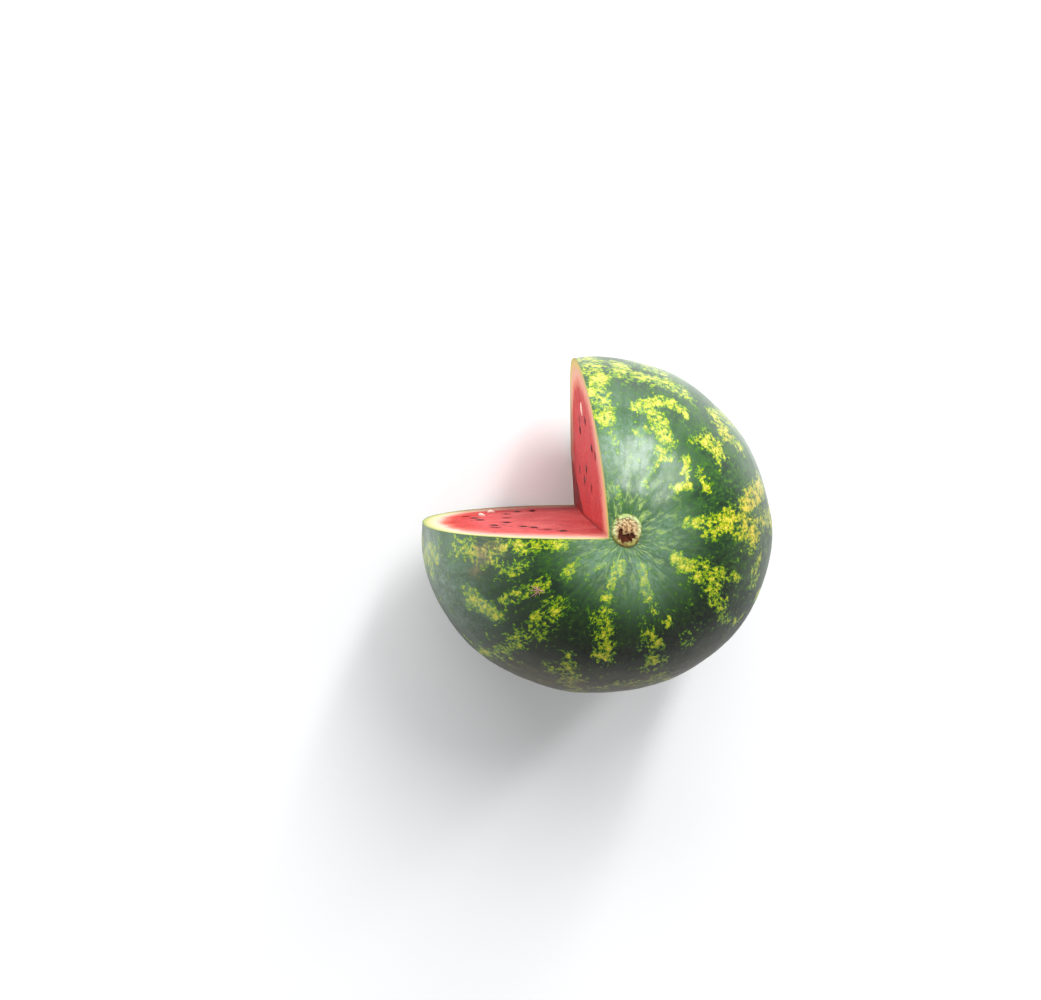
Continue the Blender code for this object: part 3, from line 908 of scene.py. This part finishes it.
def seed_material(name, dark, light, roughness):
    """A wet seed coat with faint mottling."""
    n = Nodes(name)
    place = n.place()
    blotch = n.noise(place, 900, 3, 0.6)
    fine = n.noise(place, 3000, 2)
    colour = n.mix(n.step(blotch, 0.4, 0.7), dark, light)
    n.bump(fine, 0.2, 0.1 * MM)
    return n.surface(colour, n.step(blotch, 0.3, 0.7, roughness, roughness + 0.12))


# ---------------------------------------------------------------- stub, seeds, scratch

def make_stub():
    """The corky stub: a thick rim, a crinkled crown and a sunk, broken middle."""
    rings, sides = 34, 96
    foot = stub_low.z + 0.8 * MM
    crown = [stub_point(ring / rings, 2 * math.pi * side / sides)
             for ring in range(rings + 1) for side in range(sides)]
    base = len(crown)
    crown += [((point[0], point[1], foot), 0.5, 0) for point, _, _ in crown[-sides:]]
    crown.append(((STUB_CENTRE.x, STUB_CENTRE.y, foot), 0.5, 0))
    points, folds, broken = zip(*crown)
    faces = []
    for ring in range(rings + 1):
        for side in range(sides):
            after = (side + 1) % sides
            low, high = ring * sides, (ring + 1) * sides
            faces.append((low + side, low + after, high + after, high + side))
    last = len(points) - 1
    for side in range(sides):
        faces.append((base + side, base + (side + 1) % sides, last))
    faces.append(tuple(range(sides)))
    mesh = bpy.data.meshes.new("stem_stub_cork")
    mesh.from_pydata(points, [], faces)
    turn_faces_out(mesh)
    add_values(mesh, "fold", folds)
    add_values(mesh, "broken", broken)
    add_values(mesh, "side", [(point[1] - STUB_CENTRE.y) / STUB_RADIUS for point in points])
    add_values(mesh, "from_stem", [from_stub(point[0], point[1]) for point in points])
    mesh.shade_smooth()
    mesh.materials.append(cork_material())
    return show("stem_stub_cork", mesh)


def stub_point(share, turn):
    """A point of the stub's crown, how open its folds are, and how broken the cork is."""
    around = Vector((math.cos(turn), math.sin(turn), 0))
    wobble = 1 + 0.05 * noise.noise(around * 1.5 + Vector((5, 0, 0)))
    radius = (0.02 + 0.98 * share) * STUB_RADIUS * 1.09 * wobble
    x, y = radius * math.cos(turn), radius * math.sin(turn)
    lip = 0.9 * MM * math.exp(-((share - 0.80) / 0.10) ** 2)
    edge = -3.0 * MM * max(0, (share - 0.84) / 0.16) ** 2
    hole = min(math.hypot((x - side) / wide, (y - up) / tall) for side, up, wide, tall in STUB_HOLES)
    hole += 0.45 * noise.noise(Vector((x, y, 8 * MM)) / (2.0 * MM))
    broken = max(0, min(1, 1.5 - hole))
    fold = 0.5 + 0.5 * noise.fractal(Vector((x, y, 0)) / (2.4 * MM), 1.0, 2.0, 3)
    crease = min(1, abs(noise.noise(Vector((x, y, 3 * MM)) / (3.0 * MM))) / 0.16)
    crumple = 1.5 * MM * (fold - 0.5) + 0.8 * MM * (crease - 1)
    calm = max(0, min(1, (1 - share) * 5))
    z = stub_high.z - 1.3 * MM + lip + edge + crumple * calm - 1.5 * MM * broken * calm
    place = (STUB_CENTRE.x + x, STUB_CENTRE.y + STUB_SHIFT + y * STUB_STRETCH, z)
    return place, fold * (0.4 + 0.6 * crease), broken


def make_seed(name, node, material, sizes):
    """A smooth seed on the frame's seed: its cage rounded, and sized along X, Y and Z."""
    low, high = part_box(name)
    middle = (low + high) / 2
    mesh = node.data.copy()
    work = bmesh.new()
    work.from_mesh(mesh)
    bmesh.ops.remove_doubles(work, verts=work.verts, dist=0.01 * MM)
    for vertex in work.verts:
        offset = node.matrix_world @ vertex.co - middle
        vertex.co = middle + Vector(a * b for a, b in zip(offset, sizes))
    work.to_mesh(mesh)
    work.free()
    mesh.materials.clear()
    mesh.materials.append(material)
    piece = show(name + "_coat", mesh)
    rounding = piece.modifiers.new("rounding", "SUBSURF")
    rounding.levels = rounding.render_levels = 2
    return piece


def make_scratch():
    """A small star-shaped scar on the skin: thin corky ridges that cross."""
    pick = np.random.default_rng(3)
    middle = skin_place(SCRATCH_TURN, SCRATCH_ALONG)
    outward = Vector(middle) - Vector((0, 0, MIDDLE))
    outward.normalize()
    east = Vector((0, 0, 1)).cross(outward).normalized()
    north = outward.cross(east)
    work = bmesh.new()
    for arm in range(SCRATCH_ARMS):
        turn = 2 * math.pi * arm / SCRATCH_ARMS + pick.uniform(-0.25, 0.25)
        length = pick.uniform(3.0, 7.5) * MM
        along = math.cos(turn) * east + math.sin(turn) * north
        across = outward.cross(along)
        sections = []
        for share in [step / ARM_STEPS for step in range(ARM_STEPS + 1)]:
            spot = Vector(middle) + along * (length * share)
            spot += across * (0.5 * MM * math.sin(3 * share + arm))
            spot = on_skin(spot)
            wide = 0.55 * MM * (1 - share) ** 0.7 + 0.05 * MM
            tall = 0.28 * MM * (1 - share) + 0.03 * MM
            corners = [spot - across * wide - outward * 0.5 * MM, spot + outward * tall,
                       spot + across * wide - outward * 0.5 * MM]
            sections.append([work.verts.new(corner) for corner in corners])
        for near, far in zip(sections, sections[1:]):
            for i in range(3):
                j = (i + 1) % 3
                work.faces.new((near[i], near[j], far[j], far[i]))
        work.faces.new(sections[0])
        work.faces.new(sections[-1])
    bmesh.ops.recalc_face_normals(work, faces=work.faces)
    mesh = bpy.data.meshes.new("skin_scratch")
    work.to_mesh(mesh)
    work.free()
    mesh.shade_smooth()
    n = Nodes("scratch_cork")
    grit = n.noise(n.place(), 1500, 3)
    n.bump(grit, 0.4, 0.2 * MM)
    mesh.materials.append(n.surface(n.mix(grit, srgb(120, 84, 66), srgb(206, 168, 148)), 0.8))
    return show("skin_scratch", mesh)


def on_skin(spot):
    """The point moved along its ray from the melon's middle onto the skin."""
    ray = spot - Vector((0, 0, MIDDLE))
    level = float(inside(*spot))
    return Vector((0, 0, MIDDLE)) + ray / level


# ---------------------------------------------------------------- stage

# The camera looks almost straight down, from a little to the left and behind
CAMERA_PLACE = (-0.1928, 0.1000, 1.5306)
CAMERA_TURN = (-3.21, -5.76, -0.75)          # degrees about X, Y and Z
CAMERA_LENS = 69.2

LIGHT_TARGET = (0, 0, 0.12)
WORLD_COLOUR, WORLD_STRENGTH = (0.985, 0.99, 0.985, 1), 0.36
FLOOR_REACH = 6


def make_camera():
    data = bpy.data.cameras.new("camera")
    data.lens = CAMERA_LENS
    data.sensor_width = 36
    camera = show("camera", data)
    camera.location = CAMERA_PLACE
    camera.rotation_euler = [math.radians(turn) for turn in CAMERA_TURN]
    bpy.context.scene.camera = camera


def make_light(name, place, size_x, size_y, power):
    data = bpy.data.lights.new(name, "AREA")
    data.shape = "RECTANGLE"
    data.size, data.size_y = size_x, size_y
    data.energy = power
    light = show(name, data)
    light.location = place
    light.rotation_euler = (Vector(LIGHT_TARGET) - Vector(place)).to_track_quat("-Z", "Y").to_euler()


def make_stage():
    floor_mesh = bpy.data.meshes.new("floor")
    corners = [(FLOOR_REACH * x, FLOOR_REACH * y, 0) for x, y in ((-1, -1), (1, -1), (1, 1), (-1, 1))]
    floor_mesh.from_pydata(corners, [], [(0, 1, 2, 3)])
    n = Nodes("floor_paint")
    soft = n.noise(n.place(), 3, 2)
    floor_mesh.materials.append(n.surface(n.mix(soft, srgb(238, 239, 241), srgb(243, 244, 246)), 0.8,
                                          Specular_IOR_Level=0.2))
    show("floor", floor_mesh)
    world = bpy.data.worlds.new("studio")
    world.use_nodes = True
    background = world.node_tree.nodes["Background"]
    background.inputs["Color"].default_value = WORLD_COLOUR
    background.inputs["Strength"].default_value = WORLD_STRENGTH
    bpy.context.scene.world = world
    make_light("window_left", (0.68, 1.60, 1.92), 0.28, 2.0, 38)
    make_light("window_right", (1.38, 1.20, 1.83), 0.28, 2.0, 21)
    make_light("panel", (-0.4, 2.3, 2.1), 2.6, 1.6, 48)
    make_light("ceiling", (0, 0.8, 3.2), 4.0, 4.0, 17)
    make_light("pale_wall", (-2.6, 0.1, 0.9), 2.4, 1.6, 22)
    bpy.context.scene.view_settings.view_transform = "Standard"


# ---------------------------------------------------------------- assembly

make_stage()
make_camera()

melon = make_melon()
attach(melon, "root")
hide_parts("melon")

stub = make_stub()
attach(stub, "root")
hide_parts("stem_stub")

# How large each kind of seed shows, of its solid in the frame, along X, Y and Z
PALE_SIZES, RIPE_SIZES = (0.95, 1.7, 1.1), (0.78, 0.74, 0.78)

ripe_coat = seed_material("seed_coat", srgb(44, 10, 14), srgb(98, 32, 32), 0.5)
pale_coat = seed_material("pale_seed_coat", srgb(244, 206, 190), srgb(252, 230, 218), 0.35)
slots = {part["node"]: part["material_slot"] for part in frame["record"]["subparts"]}
for name, node in seed_nodes().items():
    pale = slots[name] == "seed_coat_pale"
    seed = make_seed(name, node, pale_coat if pale else ripe_coat, PALE_SIZES if pale else RIPE_SIZES)
    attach(seed, "root")
    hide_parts(name)

scratch = make_scratch()
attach(scratch, "root")
